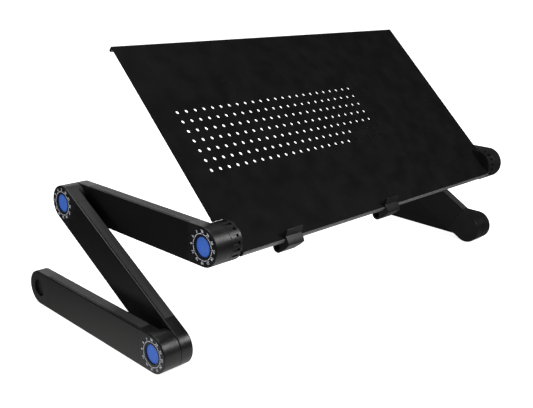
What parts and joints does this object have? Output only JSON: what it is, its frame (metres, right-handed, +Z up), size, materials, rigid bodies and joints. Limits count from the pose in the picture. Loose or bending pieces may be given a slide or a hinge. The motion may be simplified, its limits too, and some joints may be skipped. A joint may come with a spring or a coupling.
{
  "type": "laptop stand",
  "caption": "Folding laptop stand: a perforated tilting deck on two three-link legs with toothed locking joints, push buttons and sliding front clips.",
  "frame": {"origin": "centre of the footprint, on the surface that the feet stand on", "axes": "+X to the user's right, along the joint axes; +Y away from the user; +Z up"},
  "size_m": [0.6018, 0.2868, 0.2959],
  "materials": {
    "black_anodised": "black satin anodised, finely brushed along its length",
    "black_plastic": "black moulded plastic, fine satin texture",
    "blue_plastic": "smooth blue moulded plastic",
    "steel": "zinc plated",
    "gear_steel": "sintered",
    "brass": "machined"
  },
  "bodies": {
    "deck": {"deck": "black_anodised", "deck_front_lip": "black_anodised", "deck_rear_bead": "black_anodised", "deck_rail": "black_anodised", "deck_hub_screws": "steel", "left_deck_hub": "black_plastic", "left_deck_insert": "brass", "left_deck_pivot_bolt": "steel", "left_deck_spring": "steel", "right_deck_hub": "black_plastic", "right_deck_insert": "brass", "right_deck_pivot_bolt": "steel", "right_deck_spring": "steel"},
    "left_upper_link": {"left_upper_tube": "black_anodised", "left_upper_front_cap": "black_plastic", "left_upper_rear_cap": "black_plastic", "left_knee_insert": "brass", "left_knee_pivot_bolt": "steel", "left_knee_spring": "steel"},
    "left_middle_link": {"left_middle_tube": "black_anodised", "left_middle_lower_cap": "black_plastic", "left_middle_upper_cap": "black_plastic", "left_foot_insert": "brass", "left_foot_pivot_bolt": "steel", "left_foot_spring": "steel"},
    "left_foot_link": {"left_foot_tube": "black_anodised", "left_foot_front_cap": "black_plastic", "left_foot_rear_cap": "black_plastic"},
    "left_deck_button": {"left_deck_button": "blue_plastic"},
    "left_deck_lock_gear": {"left_deck_lock_gear": "gear_steel"},
    "left_knee_button": {"left_knee_button": "blue_plastic"},
    "left_knee_lock_gear": {"left_knee_lock_gear": "gear_steel"},
    "left_foot_button": {"left_foot_button": "blue_plastic"},
    "left_foot_lock_gear": {"left_foot_lock_gear": "gear_steel"},
    "right_upper_link": {"right_upper_tube": "black_anodised", "right_upper_front_cap": "black_plastic", "right_upper_rear_cap": "black_plastic", "right_knee_insert": "brass", "right_knee_pivot_bolt": "steel", "right_knee_spring": "steel"},
    "right_middle_link": {"right_middle_tube": "black_anodised", "right_middle_lower_cap": "black_plastic", "right_middle_upper_cap": "black_plastic", "right_foot_insert": "brass", "right_foot_pivot_bolt": "steel", "right_foot_spring": "steel"},
    "right_foot_link": {"right_foot_tube": "black_anodised", "right_foot_front_cap": "black_plastic", "right_foot_rear_cap": "black_plastic"},
    "right_deck_button": {"right_deck_button": "blue_plastic"},
    "right_deck_lock_gear": {"right_deck_lock_gear": "gear_steel"},
    "right_knee_button": {"right_knee_button": "blue_plastic"},
    "right_knee_lock_gear": {"right_knee_lock_gear": "gear_steel"},
    "right_foot_button": {"right_foot_button": "blue_plastic"},
    "right_foot_lock_gear": {"right_foot_lock_gear": "gear_steel"},
    "left_clip": {"left_clip": "black_plastic"},
    "right_clip": {"right_clip": "black_plastic"}
  },
  "joints": [
    {"name": "left_deck_hinge", "type": "hinge", "parent": "deck", "child": "left_upper_link", "pos_m": [-0.2603, -0.11736, 0.12748], "axis": [1, 0, 0], "continuous": true},
    {"name": "left_deck_button_press", "type": "slide", "parent": "left_upper_link", "child": "left_deck_button", "axis": [1, 0, 0], "range_m": [0, 0.0024], "stiffness_N_per_m": 1200, "springref_m": -0.004},
    {"name": "left_deck_lock_slide", "type": "slide", "parent": "deck", "child": "left_deck_lock_gear", "axis": [1, 0, 0], "range_m": [0, 0.0024], "deforming": ["left_deck_spring"]},
    {"name": "left_knee_hinge", "type": "hinge", "parent": "left_upper_link", "child": "left_middle_link", "pos_m": [-0.2806, 0.09661, 0.12375], "axis": [1, 0, 0], "continuous": true},
    {"name": "left_knee_button_press", "type": "slide", "parent": "left_middle_link", "child": "left_knee_button", "axis": [1, 0, 0], "range_m": [0, 0.0024], "stiffness_N_per_m": 1200, "springref_m": -0.004},
    {"name": "left_knee_lock_slide", "type": "slide", "parent": "left_upper_link", "child": "left_knee_lock_gear", "axis": [1, 0, 0], "range_m": [0, 0.0024], "deforming": ["left_knee_spring"]},
    {"name": "left_foot_hinge", "type": "hinge", "parent": "left_middle_link", "child": "left_foot_link", "pos_m": [-0.3009, -0.09056, 0.02], "axis": [1, 0, 0], "continuous": true},
    {"name": "left_foot_button_press", "type": "slide", "parent": "left_foot_link", "child": "left_foot_button", "axis": [1, 0, 0], "range_m": [0, 0.0024], "stiffness_N_per_m": 1200, "springref_m": -0.004},
    {"name": "left_foot_lock_slide", "type": "slide", "parent": "left_middle_link", "child": "left_foot_lock_gear", "axis": [1, 0, 0], "range_m": [0, 0.0024], "deforming": ["left_foot_spring"]},
    {"name": "right_deck_hinge", "type": "hinge", "parent": "deck", "child": "right_upper_link", "pos_m": [0.2603, -0.11736, 0.12748], "axis": [1, 0, 0], "continuous": true},
    {"name": "right_deck_button_press", "type": "slide", "parent": "right_upper_link", "child": "right_deck_button", "axis": [-1, 0, 0], "range_m": [0, 0.0024], "stiffness_N_per_m": 1200, "springref_m": -0.004},
    {"name": "right_deck_lock_slide", "type": "slide", "parent": "deck", "child": "right_deck_lock_gear", "axis": [-1, 0, 0], "range_m": [0, 0.0024], "deforming": ["right_deck_spring"]},
    {"name": "right_knee_hinge", "type": "hinge", "parent": "right_upper_link", "child": "right_middle_link", "pos_m": [0.2806, 0.09661, 0.12375], "axis": [1, 0, 0], "continuous": true},
    {"name": "right_knee_button_press", "type": "slide", "parent": "right_middle_link", "child": "right_knee_button", "axis": [-1, 0, 0], "range_m": [0, 0.0024], "stiffness_N_per_m": 1200, "springref_m": -0.004},
    {"name": "right_knee_lock_slide", "type": "slide", "parent": "right_upper_link", "child": "right_knee_lock_gear", "axis": [-1, 0, 0], "range_m": [0, 0.0024], "deforming": ["right_knee_spring"]},
    {"name": "right_foot_hinge", "type": "hinge", "parent": "right_middle_link", "child": "right_foot_link", "pos_m": [0.3009, -0.09056, 0.02], "axis": [1, 0, 0], "continuous": true},
    {"name": "right_foot_button_press", "type": "slide", "parent": "right_foot_link", "child": "right_foot_button", "axis": [-1, 0, 0], "range_m": [0, 0.0024], "stiffness_N_per_m": 1200, "springref_m": -0.004},
    {"name": "right_foot_lock_slide", "type": "slide", "parent": "right_middle_link", "child": "right_foot_lock_gear", "axis": [-1, 0, 0], "range_m": [0, 0.0024], "deforming": ["right_foot_spring"]},
    {"name": "left_clip_slide", "type": "slide", "parent": "deck", "child": "left_clip", "axis": [1, 0, 0], "range_m": [-0.056, 0.118]},
    {"name": "right_clip_slide", "type": "slide", "parent": "deck", "child": "right_clip", "axis": [1, 0, 0], "range_m": [-0.0225, 0.2075]}
  ],
  "couplings": [
    {"joint": "left_deck_lock_slide", "follows": "left_deck_button_press", "ratio": 1},
    {"joint": "left_knee_lock_slide", "follows": "left_knee_button_press", "ratio": 1},
    {"joint": "left_foot_lock_slide", "follows": "left_foot_button_press", "ratio": 1},
    {"joint": "right_deck_lock_slide", "follows": "right_deck_button_press", "ratio": 1},
    {"joint": "right_knee_lock_slide", "follows": "right_knee_button_press", "ratio": 1},
    {"joint": "right_foot_lock_slide", "follows": "right_foot_button_press", "ratio": 1}
  ]
}
